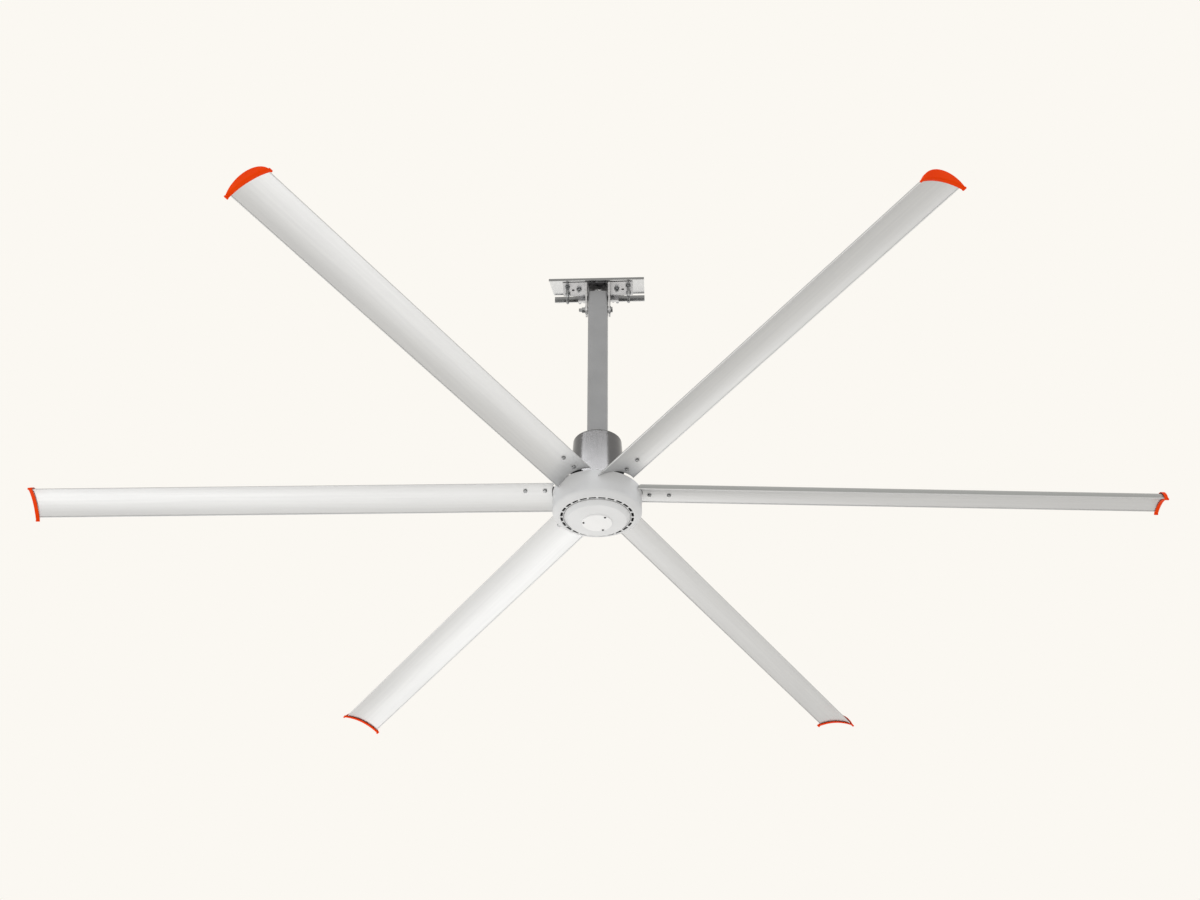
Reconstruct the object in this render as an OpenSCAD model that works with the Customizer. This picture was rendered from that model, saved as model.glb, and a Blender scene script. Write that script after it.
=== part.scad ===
// High-volume low-speed ceiling fan: six hollow airfoil blades with moulded tip caps,
// a gearless outer-rotor motor, a square down tube and a beam mount with a yoke.
// Millimetres, +Z up. The origin is the centre of the face that bears on the beam,
// and everything else hangs below it.

/* [Overall] */
// Diameter over the tip caps
fan_d = 4880; // [3600:10:6100]
// Height from the beam face down to the middle of the blade struts
drop = 1107; // [800:1:2400]
// Rest angle of the rotor about the shaft
rotor_turn = 2.25; // [0:0.25:60]

/* [Blades] */
// Chord of the blade section
blade_chord = 174; // [150:1:178]
// Height of the upper surface above the chord line
blade_rise = 44; // [40:1:54]
// Hollow of the underside above the chord line
blade_camber = 15; // [12:1:19]
// Wall of the extrusion
blade_wall = 2.5; // [2:0.1:3]
// Thickness of the rounded leading and trailing edges
blade_edge = 5; // [4:0.5:6]
// Distance of the blade's middle behind the strut's centre line
blade_shift = 16; // [0:1:20]
// Pitch of the blades, leading edge up
blade_pitch = 13; // [6:0.5:16]
// Sag of the blades below level
blade_droop = 1; // [0:0.25:2]
// Gap from the hub cover to the inner end of a blade
root_gap = 3; // [2:0.5:20]

/* [Tip caps] */
// Chord of the cap between the tops of its end beads
cap_chord = 198; // [194:1:210]
// Length of the cap along the blade
cap_depth = 17; // [14:0.5:24]
// Height of the cap above the blade section at mid chord
cap_crown = 7; // [5:0.5:12]
// Hollow of the cap's underside
cap_hollow = 19.5; // [14:0.5:24]
// Wall of the cap
cap_wall = 2.5; // [2:0.5:3]
// Radius of the beads at the two ends of the cap
cap_bead_r = 4.5; // [3.5:0.5:6]
// Rounding of the cap's outer edge
cap_round = 5; // [3:0.5:7]
// Reach of the cap's plug into the blade
cap_plug = 40; // [20:1:80]

/* [Blade struts] */
// Width of a strut
strut_w = 50; // [40:1:54]
// Thickness of a strut
strut_t = 10; // [8:0.5:12]
// Reach of a strut from the shaft axis
strut_reach = 345; // [325:1:420]
// Radius of the inner end of a strut
strut_inner_r = 118; // [112:1:122]
// Radius of the first bolt through the blade
blade_bolt_r1 = 226; // [218:1:240]
// Spacing of the two bolts through the blade
blade_bolt_step = 85; // [60:1:90]
// Shift of the blade bolts towards the leading edge
blade_bolt_y = 13; // [0:1:15]

/* [Hub cover] */
// Outer diameter of the hub cover
cover_d = 386; // [380:1:400]
// Height of the hub cover
cover_h = 117; // [110:1:140]
// Wall of the hub cover
cover_wall = 3; // [2:0.5:4]
// Drop of the cover's rim below the middle of the struts
rim_drop = 14; // [13:0.5:16]
// Slope of the shoulder below the side wall
shoulder_slope = 30; // [15:1:50]
// Rounding between the side wall and the shoulder
shoulder_r = 16; // [6:1:24]
// Mean radius of the ring of air slots
slot_ring_r = 153.5; // [152:0.5:156]
// Radial width of an air slot
slot_w = 11; // [5:0.5:12]
// Number of air slots
slot_n = 24; // [12:1:36]
// Width of the bars between the air slots
slot_bar = 9; // [5:0.5:16]
// Radius of the opening for the centre disc
disc_r = 140; // [132:0.5:142]
// Drop of the centre disc below the cover's face
disc_drop = 27; // [24:0.5:34]
// Height of the centre disc's side wall
disc_side = 20; // [12:0.5:22]
// Inward lean of the centre disc's side wall
disc_lean = 35; // [10:1:45]
// Radius of the centre cap
centre_cap_r = 65; // [55:1:80]
// Thickness of the centre cap
centre_cap_t = 5; // [4:0.5:8]

/* [Motor] */
// Radius of the hub plate
hub_plate_r = 178; // [172:0.5:180]
// Thickness of the hub plate
hub_plate_t = 12; // [10:0.5:16]
// Outer radius of the rotor ring
rotor_r = 140; // [136:1:144]
// Wall of the rotor ring
rotor_wall = 10; // [8:0.5:12]
// Height of the rotor ring
rotor_h = 78; // [74:1:84]
// Number of magnets
magnet_n = 20; // [16:2:28]
// Thickness of a magnet
magnet_t = 7; // [5:0.5:8]
// Air gap between the magnets and the stator
air_gap = 1; // [0.6:0.1:1.5]
// Length of the stator stack
stator_h = 42; // [30:1:44]
// Number of stator teeth
tooth_n = 18; // [12:3:24]
// Radius of the shaft in the upper bearing
shaft_r = 25; // [22:0.5:28]
// Radius of the shaft in the lower bearing
shaft_end_r = 20; // [16:0.5:21]
// Radius of the bore for the leads through the shaft
shaft_bore_r = 11; // [6:0.5:12]

/* [Motor shroud] */
// Radius of the shroud at its top
shroud_top_r = 106; // [96:1:112]
// Radius of the shroud at its bottom
shroud_bottom_r = 121; // [116:1:128]
// Height of the shroud
shroud_h = 238; // [180:1:300]
// Wall of the shroud
shroud_wall = 2; // [1.5:0.5:3]

/* [Down tube] */
// Width over the flats of the square tube
tube_w = 88.9; // [70:0.1:90]
// Wall of the tube
tube_wall = 4.8; // [3:0.1:8]
// Outer corner radius of the tube
tube_corner = 12; // [9:0.5:14]
// Width of the square base plate
base_w = 130; // [127:1:134]
// Thickness of the base plate and of the shaft flange
base_t = 12; // [8:0.5:16]

/* [Mount] */
// Half of the rail's length on the side of the bolt head
rail_right = 213; // [190:1:260]
// Half of the rail's length on the side of the nut
rail_left = 223; // [200:1:260]
// Rake of the rails' left ends
rail_rake = 26; // [0:1:30]
// Thickness of the rails
rail_t = 6; // [5:0.5:8]
// Depth of the near rail
near_rail_w = 114; // [106:1:125]
// Height of the near rail's lip
near_rail_lip = 13; // [10:0.5:20]
// Gap between the rails
rail_gap = 21; // [18:0.5:36]
// Width of the far rail
far_rail_w = 34; // [32:0.5:40]
// Height of the far rail
far_rail_h = 32; // [30:0.5:36]
// Half length of the yoke's wings
wing_x = 160; // [154:1:185]
// Thickness of the yoke
yoke_t = 10; // [8:0.5:12]
// Thickness of the yoke's ears
ear_t = 8; // [6:0.5:12]
// Radius of the ears' round ends
ear_r = 33; // [26:0.5:40]
// Gap on each side between the tube and the ears
ear_gap = 4; // [3:0.5:8]
// Depth of the pivot bolt below the beam face
pivot_depth = 119; // [110:1:200]
// Length of tube above the pivot bolt
tube_above = 75; // [60:1:78]
// Radius of the pivot bolt
pivot_r = 8; // [6:0.5:10]
// Radius of the wire hole in the yoke
wire_hole_r = 22; // [12:1:28]
// Width of the beam flange that the clamps take
flange_w = 130; // [100:1:134]
// Thickness of the beam flange
flange_t = 13; // [8:0.5:20]
// Half spacing of the clamp bolts
clamp_x = 87; // [86:0.5:92]
// Half spacing of the bolts that hold the yoke to the near rail
yoke_bolt_x = 140; // [134:1:146]
// Length of thread below the yoke's nuts
bolt_tail = 45; // [10:1:60]

/* [Fasteners] */
// Radius of the mount, strut and flange bolts
bolt_r = 6; // [5:0.5:6]
// Radius of the bolts through the blades
blade_bolt_size = 5; // [4:0.5:6]
// Clearance of bolts in their holes
hole_fit = 0.5; // [0.2:0.1:1]
// Clearance between pieces that seat on each other
seat_fit = 0.3; // [0.2:0.05:0.4]
// Running clearance of the shaft in its bearings
run_fit = 0.05; // [0.02:0.01:0.1]

/* [Hidden] */
$fn = 96;

blade_n = 6;
blade_step = 360 / blade_n;
tiny = 0.01;

// Levels along the shaft
strut_z = -drop;
strut_top = strut_z + strut_t / 2;
rim_z = strut_z - rim_drop;
face_z = rim_z - cover_h;
shoulder_flat = 6;
disc_round = 6;
plate_top = strut_z - strut_t / 2;
plate_z = plate_top - hub_plate_t;
ring_z = plate_z - rotor_h;
end_plate_t = 8;
end_z = ring_z - end_plate_t;
stator_z = (plate_z + ring_z) / 2;

// Bolt proportions
head_h = 7.5;
head_r = 9.5;
nut_h = 11;
thread_show = 8;

// Upper and lower bearings
upper_out = shaft_r + 15;
upper_h = 16;
lower_out = shaft_end_r + 16;
lower_h = 15;
bearing_lip = 2;
bearing_ledge = 4;
upper_z = plate_top - bearing_lip - upper_h;
lower_z = end_z + bearing_lip + 1;

// Shaft, flange and what it carries
shaft_run_r = shaft_r - run_fit;
shaft_end_run_r = shaft_end_r - run_fit;
flange_r = 86;
flange_z = strut_top + head_h + 11.5;
shroud_base_t = 4;
shroud_base_z = flange_z + base_t;
base_z = shroud_base_z + shroud_base_t;
tube_z = base_z + base_t;
shaft_nut_h = 10;
shaft_nut_r = shaft_end_r + 6;
shaft_low_z = lower_z - seat_fit - shaft_nut_h - 1;

// Shroud, from just above the strut bolts
shroud_z = strut_top + head_h + 6;
shroud_top_z = shroud_z + shroud_h;
shroud_round = 8;
shroud_lip = 5;
shroud_slope = (shroud_bottom_r - shroud_top_r) / shroud_h;

// Stator and magnets
magnet_r = rotor_r - rotor_wall;
stator_r = magnet_r - magnet_t - air_gap;
stator_core_r = stator_r - 44;
tooth_w = 12;
coil_w = 6;
coil_out = 8;
shoe_w = 28;
shoe_t = 5;
magnet_fill = 0.84;

// Blade section, in a frame whose origin is the middle of the strut
edge_r = blade_edge / 2;
arc_chord = blade_chord - blade_edge;
under_top = -(strut_t / 2 + seat_fit + blade_wall);
chord_h = under_top - blade_camber;
top_h = chord_h + blade_rise;
upper_r = arc_radius(arc_chord, blade_rise);
lower_r = arc_radius(arc_chord, blade_camber);
upper_c = top_h - upper_r;
lower_c = under_top - lower_r;
rib_y = strut_w / 2 + seat_fit;

// Blade along its length
cover_r = cover_d / 2;
bend_r = cover_r + root_gap / 2;
root_r = cover_r + root_gap;
root_start = sqrt(pow(root_r, 2) - pow(blade_chord / 2 + blade_shift, 2)) - 2;
tip_r = fan_d / 2;
cap_face = 6;
blade_end = tip_r - cap_face;
blade_bolt_r2 = blade_bolt_r1 + blade_bolt_step;
blade_bolt_head_r = 9;
blade_bolt_head_h = 5;
blade_nut_r = 8.5;
blade_nut_h = 8;

// Tip cap outline
cap_clear = 0.6;
cap_lower_r = arc_radius(cap_chord, cap_hollow);
cap_floor_r = cap_lower_r + cap_wall;
cap_floor_drop = cap_floor_r - sqrt(pow(cap_floor_r, 2) - pow(arc_chord / 2, 2));
cap_skirt = cap_wall + edge_r + cap_clear + cap_hollow - cap_floor_drop;
cap_top = top_h + cap_crown;
cap_tip_h = chord_h - cap_skirt;
cap_upper_r = arc_radius(cap_chord, cap_top - cap_tip_h);
cap_upper_c = cap_top - cap_upper_r;
cap_lower_c = cap_tip_h + cap_hollow - cap_lower_r;

// Rails and yoke across the beam
rails_w = near_rail_w + rail_gap + far_rail_w;
near_y = -rails_w / 2;
near_end_y = near_y + near_rail_w;
far_y = near_end_y + rail_gap;
far_end_y = rails_w / 2;
yoke_z = -rail_t - yoke_t;
yoke_near_y = near_y + rail_t + 4;
wing_far_y = near_end_y - 3;
yoke_body_x = clamp_x + 6;
yoke_back_t = 10;
back_bolt_r = 4;
back_bolt_head_h = 5;
back_bolt_head_r = 6.5;
back_bolt_z = yoke_z - back_bolt_head_r / cos(30) - 1;
ear_in = tube_w / 2 + ear_gap;
ear_out = ear_in + ear_t;
back_bolt_x = ear_out + back_bolt_head_r / cos(30) + 3;
ear_top_far = 38;
pivot_z = -pivot_depth;
tube_top_z = pivot_z + tube_above;
pivot_fit = 0.1;
pivot_head_h = 7.5;
pivot_head_r = 12;
pivot_nut_h = 14;
pivot_tail = 14;
washer_t = 3;
washer_r = 17;
spacer_r = 16;
spare_hole_x = 114;
spare_hole_y = -18;

// Clamps
clamp_near_y = -24;
clamp_far_y = (far_y + rail_t + far_end_y) / 2;
clamp_near_w = 40;
clamp_far_w = far_rail_w - rail_t;
clamp_lap = 13;
clamp_t = 17;
clamp_heel = 14;
clamp_heel_x = clamp_x + 17;
clamp_under = flange_t + seat_fit;
clamp_top = clamp_under + clamp_t;
yoke_bolt_near_y = -45;
yoke_bolt_far_y = 8;

// Radius of an arc from its chord and its rise
function arc_radius(chord, rise) = (chord * chord / 4 + rise * rise) / (2 * rise);

// Height of an arc of radius r about centre height c, at sideways distance y
function arc_h(c, r, y) = c + sqrt(r * r - y * y);

// Left end of the rails at depth y
function rail_left_x(y) = -rail_left + rail_rake * (y - near_y) / rails_w;

// Point where a line from p touches a circle of radius r about c, side is 1 or -1
function touch(p, c, r, side) =
    let (d = p - c)
    let (a = atan2(d[1], d[0]) + side * acos(r / norm(d)))
    [c[0] + r * cos(a), c[1] + r * sin(a)];

// Places children as blade i, with x along the blade and z square to its chord
module on_blade(i) {
    rotate([0, 0, rotor_turn + i * blade_step])
        translate([bend_r, 0, strut_z])
            rotate([0, blade_droop, 0])
                rotate([blade_pitch, 0, 0])
                    translate([-bend_r, 0, 0])
                        children();
}

// Places children at strut i, level, with x along the strut
module on_strut(i) {
    rotate([0, 0, rotor_turn + i * blade_step])
        translate([0, 0, strut_z])
            children();
}

// Extrudes a section drawn in y and z along x
module along_x(x0, x1) {
    translate([x0, 0, 0])
        rotate([90, 0, 90])
            linear_extrude(x1 - x0)
                children();
}

module ring(r_out, r_in, h) {
    difference() {
        cylinder(r = r_out, h = h);
        translate([0, 0, -1])
            cylinder(r = r_in, h = h + 2);
    }
}

// Hexagonal bar, r is half the width over its flats
module hex(r, h) {
    cylinder(r = r / cos(30), h = h, $fn = 6);
}

// Bolt with its head above z = 0 and its shank of length l below
module hex_bolt(r, l, hr, hh) {
    hex(hr, hh);
    translate([0, 0, -l])
        cylinder(r = r, h = l + tiny);
}

module hex_nut(r, nr, h) {
    difference() {
        hex(nr, h);
        translate([0, 0, -1])
            cylinder(r = r, h = h + 2);
    }
}

module rounded_square(w, r) {
    square([w, w - 2 * r], center = true);
    square([w - 2 * r, w], center = true);
    for (x = [-1, 1], y = [-1, 1])
        translate([x * (w / 2 - r), y * (w / 2 - r)])
            circle(r = r);
}

// Crescent between an upper and a lower arc
module crescent(ru, cu, rl, cl) {
    difference() {
        translate([0, cu])
            circle(r = ru, $fn = 240);
        translate([0, cl])
            circle(r = rl, $fn = 360);
    }
}

// Blade extrusion: a cambered airfoil with two ribs and a shelf that make the strut's pocket
module blade_section() {
    difference() {
        translate([-blade_shift, 0]) {
            crescent(upper_r, upper_c, lower_r, lower_c);
            for (s = [-1, 1])
                translate([s * arc_chord / 2, chord_h])
                    circle(r = edge_r);
        }
        difference() {
            translate([-blade_shift, 0])
                crescent(upper_r - blade_wall, upper_c, lower_r + blade_wall, lower_c);
            for (s = [-1, 1])
                translate([s * (rib_y + blade_wall / 2), top_h - blade_rise / 2])
                    square([blade_wall, 2 * blade_rise], center = true);
            translate([-rib_y, strut_t / 2 + seat_fit])
                square([2 * rib_y, blade_wall]);
        }
    }
}

module blade(i) {
    color("gainsboro")
        difference() {
            on_blade(i)
                difference() {
                    along_x(root_start, blade_end)
                        blade_section();
                    blade_bolt_holes();
                }
            root_cut();
        }
}

// Round space about the hub cover that the blades' inner ends follow
module root_cut() {
    translate([0, 0, strut_z - 2 * blade_rise])
        cylinder(r = root_r, h = 4 * blade_rise, $fn = 360);
}

module blade_bolt_holes() {
    for (x = [blade_bolt_r1, blade_bolt_r2])
        translate([x, blade_bolt_y, -blade_rise])
            cylinder(r = blade_bolt_size + hole_fit, h = 2 * blade_rise);
}

// Disc of radius r and height h whose upper edge is rounded
module round_disc(r, h, e) {
    rotate_extrude($fn = 240) {
        square([r, h - e]);
        square([r - e, h]);
        translate([r - e, h - e])
            circle(r = e, $fn = 48);
    }
}

// Disc of radius r that flares at its upper end, to cut a rounded hollow edge
module flared_disc(r, h, e) {
    rotate_extrude($fn = 360) {
        translate([0, -1])
            square([r, h + 2]);
        difference() {
            translate([0, h - e])
                square([r + e, e + 1]);
            translate([r + e, h - e])
                circle(r = e, $fn = 48);
        }
    }
}

// Moulded tip cap: a domed crescent shell over the blade's end, with two plugs inside the blade
module tip_cap(i) {
    color("orangered")
        on_blade(i) {
            difference() {
                translate([tip_r - cap_depth, -blade_shift, 0])
                    rotate([90, 0, 90])
                        cap_shell();
                along_x(tip_r - cap_depth - 1, blade_end)
                    translate([-blade_shift, 0])
                        crescent(cap_upper_r - cap_wall, cap_upper_c, cap_floor_r, cap_lower_c);
            }
            along_x(blade_end - cap_plug, blade_end + tiny)
                cap_plug_section();
        }
}

module cap_shell() {
    difference() {
        translate([0, cap_upper_c, 0])
            round_disc(cap_upper_r, cap_depth, cap_round);
        translate([0, cap_lower_c, 0])
            flared_disc(cap_lower_r, cap_depth, cap_round);
    }
    for (s = [-1, 1])
        translate([s * (cap_chord / 2 - cap_bead_r / 2), cap_tip_h + cap_bead_r / 2, 0])
            round_disc(cap_bead_r, cap_depth, min(cap_round, cap_bead_r / 2));
}

module cap_plug_section() {
    inset = blade_wall + seat_fit;
    plug_y = rib_y + blade_wall + seat_fit;
    difference() {
        translate([-blade_shift, 0])
            crescent(upper_r - inset, upper_c, lower_r + inset, lower_c);
        translate([-plug_y, -blade_chord])
            square([2 * plug_y, 2 * blade_chord]);
    }
}

// Point of the pitched bar, given in the strut's own frame
function bar_point(x, y, z) =
    let (u = y * sin(blade_pitch) + z * cos(blade_pitch))
    [
        bend_r + (x - bend_r) * cos(blade_droop) + u * sin(blade_droop),
        y * cos(blade_pitch) - z * sin(blade_pitch),
        u * cos(blade_droop) - (x - bend_r) * sin(blade_droop)
    ];

// Corners of the strut's section, in order round it
strut_corners = [for (c = [[-1, -1], [1, -1], [1, 1], [-1, 1]]) [c[0] * strut_w / 2, c[1] * strut_t / 2]];

// Strut: a level pad on the hub plate, bent and twisted into the pitched bar inside the blade
module strut(i) {
    pad_end = hub_plate_r;
    bar_start = root_r - 3;
    color("darkgray")
        difference() {
            on_strut(i)
                polyhedron(
                    points = concat(
                        [for (x = [strut_inner_r, pad_end], c = strut_corners) [x, c[0], c[1]]],
                        [for (x = [bar_start, strut_reach], c = strut_corners) bar_point(x, c[0], c[1])]
                    ),
                    faces = concat(
                        [[0, 1, 2, 3], [15, 14, 13, 12]],
                        [for (s = [0, 4, 8], k = [0 : 3]) [s + k, s + k + 4, s + (k + 1) % 4]],
                        [for (s = [0, 4, 8], k = [0 : 3]) [s + k + 4, s + (k + 1) % 4 + 4, s + (k + 1) % 4]]
                    )
                );
            on_strut(i)
                strut_bolt_places()
                    translate([0, 0, -strut_t])
                        cylinder(r = bolt_r + hole_fit, h = 2 * strut_t);
            on_blade(i)
                blade_bolt_holes();
        }
}

module strut_bolt_places() {
    for (x = [strut_inner_r + 16, strut_inner_r + 46])
        translate([x, 0, 0])
            children();
}

module strut_bolts() {
    color("silver")
        for (i = [0 : blade_n - 1])
            on_strut(i)
                strut_bolt_places()
                    translate([0, 0, strut_t / 2])
                        hex_bolt(bolt_r, strut_t + hub_plate_t - 2, head_r, head_h);
}

module blade_bolts() {
    shank_top = top_h + blade_nut_h + 3;
    seat = arc_h(lower_c, lower_r, blade_bolt_y + blade_shift + blade_bolt_head_r) - seat_fit;
    color("silver")
        for (i = [0 : blade_n - 1], x = [blade_bolt_r1, blade_bolt_r2])
            on_blade(i)
                translate([x, blade_bolt_y, seat]) {
                    cylinder(r = blade_bolt_size, h = shank_top - seat);
                    mirror([0, 0, 1])
                        round_disc_small(blade_bolt_head_r, blade_bolt_head_h, blade_bolt_head_h / 2);
                }
}

module round_disc_small(r, h, e) {
    rotate_extrude($fn = 48) {
        square([r, h - e]);
        square([r - e, h]);
        translate([r - e, h - e])
            circle(r = e, $fn = 24);
    }
}

module blade_nuts() {
    seat = arc_h(upper_c, upper_r, max(0, blade_bolt_y + blade_shift - blade_nut_r / cos(30))) + seat_fit;
    color("silver")
        for (i = [0 : blade_n - 1], x = [blade_bolt_r1, blade_bolt_r2])
            on_blade(i)
                translate([x, blade_bolt_y, seat])
                    hex_nut(blade_bolt_size, blade_nut_r, blade_nut_h);
}

// Plate that carries the six struts and the upper bearing
module hub_plate() {
    boss_z = upper_z - bearing_lip;
    color("lightsteelblue")
        difference() {
            union() {
                translate([0, 0, plate_z])
                    cylinder(r = hub_plate_r, h = hub_plate_t);
                translate([0, 0, boss_z])
                    cylinder(r = upper_out + 12, h = plate_z - boss_z + tiny);
            }
            translate([0, 0, boss_z - 1])
                cylinder(r = upper_out, h = upper_z + upper_h - boss_z + 1);
            translate([0, 0, plate_z])
                cylinder(r = upper_out - bearing_ledge, h = hub_plate_t + 1);
            for (i = [0 : blade_n - 1])
                on_strut(i)
                    strut_bolt_places()
                        translate([0, 0, -strut_t / 2 - hub_plate_t + 1])
                            cylinder(r = bolt_r, h = hub_plate_t);
            hub_screw_shanks();
        }
}

// Screw places between the struts: x is the radius
module between_struts(x) {
    for (i = [0 : blade_n - 1])
        rotate([0, 0, rotor_turn + (i + 0.5) * blade_step])
            translate([x, 0, 0])
                children();
}

ring_screw_x = rotor_r - rotor_wall / 2;
ring_screw_r = 3.5;
ring_screw_l = 14;
cover_screw_x = hub_plate_r - 7;
cover_screw_r = 3;
cover_flange_t = 4;

module hub_screw_shanks() {
    between_struts(ring_screw_x)
        translate([0, 0, plate_z - ring_screw_l])
            cylinder(r = ring_screw_r, h = ring_screw_l + hub_plate_t + tiny);
    between_struts(cover_screw_x)
        translate([0, 0, plate_z - cover_flange_t])
            cylinder(r = cover_screw_r, h = cover_flange_t + hub_plate_t + tiny);
}

module hub_screws() {
    color("silver") {
        hub_screw_shanks();
        between_struts(ring_screw_x)
            translate([0, 0, plate_top])
                hex(ring_screw_r * 1.8, 5);
        between_struts(cover_screw_x)
            translate([0, 0, plate_top])
                hex(cover_screw_r * 1.7, 4);
    }
}

// Steel ring that closes the magnetic circuit outside the magnets
module rotor_ring() {
    color("dimgray")
        difference() {
            translate([0, 0, ring_z])
                ring(rotor_r, magnet_r, rotor_h);
            hub_screw_shanks();
        }
}

module magnets() {
    fill = magnet_fill * 360 / magnet_n;
    color("darkslategray")
        for (k = [0 : magnet_n - 1])
            rotate([0, 0, rotor_turn + k * 360 / magnet_n])
                translate([0, 0, stator_z - stator_h / 2 - 2])
                    linear_extrude(stator_h + 4)
                        intersection() {
                            difference() {
                                circle(r = magnet_r);
                                circle(r = magnet_r - magnet_t);
                            }
                            polygon([
                                [0, 0],
                                [rotor_r * 1.2, -rotor_r * 1.2 * tan(fill / 2)],
                                [rotor_r * 1.2, rotor_r * 1.2 * tan(fill / 2)]
                            ]);
                        }
}

// Plate under the motor: it holds the lower bearing and three posts for the centre cap
module rotor_end_plate() {
    post_low = face_z - disc_drop + cover_wall;
    color("lightsteelblue")
        difference() {
            union() {
                translate([0, 0, end_z])
                    cylinder(r = rotor_r, h = end_plate_t);
                translate([0, 0, end_z + tiny])
                    cylinder(r = lower_out + 10, h = lower_z + lower_h - end_z - tiny);
                cap_screw_places()
                    translate([0, 0, post_low])
                        cylinder(r = 8, h = end_z - post_low + tiny);
            }
            translate([0, 0, lower_z])
                cylinder(r = lower_out, h = lower_h + 1);
            translate([0, 0, end_z - 1])
                cylinder(r = lower_out - bearing_ledge, h = lower_h);
            cap_screw_places()
                translate([0, 0, post_low - 1])
                    cylinder(r = cap_screw_r, h = cap_screw_l);
        }
}

cap_screw_n = 3;
cap_screw_turn = 65;
cap_screw_x = centre_cap_r - 6;
cap_screw_r = 2.5;
cap_screw_l = 22;
cap_screw_head_r = 4.5;
cap_screw_head_h = 2.5;

module cap_screw_places() {
    for (k = [0 : cap_screw_n - 1])
        rotate([0, 0, rotor_turn + cap_screw_turn + k * 360 / cap_screw_n])
            translate([cap_screw_x, 0, 0])
                children();
}

module upper_bearing() {
    color("silver")
        translate([0, 0, upper_z])
            ring(upper_out, shaft_r, upper_h);
}

module lower_bearing() {
    color("silver")
        translate([0, 0, lower_z])
            ring(lower_out, shaft_end_r, lower_h);
}

// Fixed hollow shaft with the flange that bolts under the down tube
module shaft() {
    step_z = lower_z + lower_h + 1;
    color("gray")
        difference() {
            union() {
                translate([0, 0, flange_z])
                    cylinder(r = flange_r, h = base_t);
                translate([0, 0, step_z])
                    cylinder(r = shaft_run_r, h = flange_z - step_z + tiny);
                translate([0, 0, shaft_low_z])
                    cylinder(r = shaft_end_run_r, h = step_z - shaft_low_z + tiny);
            }
            translate([0, 0, shaft_low_z - 1])
                cylinder(r = shaft_bore_r, h = flange_z + base_t - shaft_low_z + 2);
            flange_bolt_places()
                translate([0, 0, flange_z - 1])
                    cylinder(r = bolt_r + hole_fit, h = base_t + 2);
        }
}

module shaft_nut() {
    color("silver")
        translate([0, 0, lower_z - seat_fit - shaft_nut_h])
            hex_nut(shaft_end_run_r, shaft_nut_r, shaft_nut_h);
}

// Laminated stack on the shaft
module stator_core() {
    core_in = shaft_run_r;
    web_r = (core_in + stator_core_r) / 2;
    color("slategray")
        translate([0, 0, stator_z - stator_h / 2])
            linear_extrude(stator_h)
                difference() {
                    intersection() {
                        circle(r = stator_r, $fn = 180);
                        union() {
                            circle(r = stator_core_r);
                            for (k = [0 : tooth_n - 1])
                                rotate(k * 360 / tooth_n) {
                                    translate([0, -tooth_w / 2])
                                        square([stator_r, tooth_w]);
                                    translate([stator_r - shoe_t, -shoe_w / 2])
                                        square([shoe_t, shoe_w]);
                                }
                        }
                    }
                    circle(r = core_in);
                    for (k = [0 : 5])
                        rotate(k * 60)
                            translate([web_r, 0])
                                circle(r = web_r * 0.2);
                }
}

module stator_coils() {
    coil_r0 = stator_core_r + 4;
    coil_l = stator_r - shoe_t - 3 - coil_r0;
    color("peru")
        for (k = [0 : tooth_n - 1])
            rotate([0, 0, k * 360 / tooth_n])
                translate([coil_r0, 0, stator_z])
                    difference() {
                        translate([0, -tooth_w / 2 - coil_w, -stator_h / 2 - coil_out])
                            cube([coil_l, tooth_w + 2 * coil_w, stator_h + 2 * coil_out]);
                        translate([-1, -tooth_w / 2, -stator_h / 2])
                            cube([coil_l + 2, tooth_w, stator_h]);
                    }
}

// Painted cover round the motor: sloping rounded shoulder, ring of air slots, flange under the hub plate
module hub_cover() {
    color("whitesmoke")
        difference() {
            union() {
                rotate_extrude($fn = 240)
                    difference() {
                        cover_profile(0);
                        cover_profile(cover_wall);
                    }
                translate([0, 0, plate_z - cover_flange_t])
                    ring(cover_r - cover_wall / 2, hub_plate_r - 15, cover_flange_t);
            }
            translate([0, 0, face_z - 1]) {
                cylinder(r = disc_r, h = cover_wall + 2);
                air_slots();
            }
            hub_screw_shanks();
        }
}

// Half outline of the cover, t further in than its outer face
module cover_profile(t) {
    round_x = cover_r - shoulder_r;
    flat_r = slot_ring_r + slot_w / 2 + shoulder_flat;
    round_z = face_z + ((round_x - flat_r) * sin(shoulder_slope) + shoulder_r) / cos(shoulder_slope);
    rim = rim_z + (t > 0 ? 1 : 0);
    polygon([
        [0, rim],
        [cover_r - t, rim],
        [cover_r - t, round_z],
        [
            round_x + (shoulder_r - t) * sin(shoulder_slope),
            round_z - (shoulder_r - t) * cos(shoulder_slope)
        ],
        [flat_r - t * tan(shoulder_slope / 2), face_z + t],
        [0, face_z + t]
    ]);
    translate([round_x, round_z])
        circle(r = shoulder_r - t);
}

module air_slots() {
    difference() {
        ring(slot_ring_r + slot_w / 2, slot_ring_r - slot_w / 2, cover_wall + 2);
        for (k = [0 : slot_n - 1])
            rotate([0, 0, rotor_turn + k * 360 / slot_n])
                translate([slot_ring_r, 0, cover_wall / 2 + 1])
                    cube([2 * slot_w, slot_bar, cover_wall + 4], center = true);
    }
}

// Stepped disc in the middle of the cover
module centre_disc() {
    color("whitesmoke")
        translate([0, 0, face_z])
            difference() {
                rotate_extrude($fn = 180)
                    difference() {
                        disc_profile(disc_r - seat_fit, 0);
                        disc_profile(disc_r - seat_fit, cover_wall);
                    }
                cap_screw_places()
                    translate([0, 0, -disc_drop - 1])
                        cylinder(r = cap_screw_r, h = cover_wall + 2);
            }
    color("whitesmoke")
        translate([0, 0, face_z + cover_wall])
            ring(disc_r + 4, disc_r - seat_fit - cover_wall, cover_wall);
}

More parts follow.
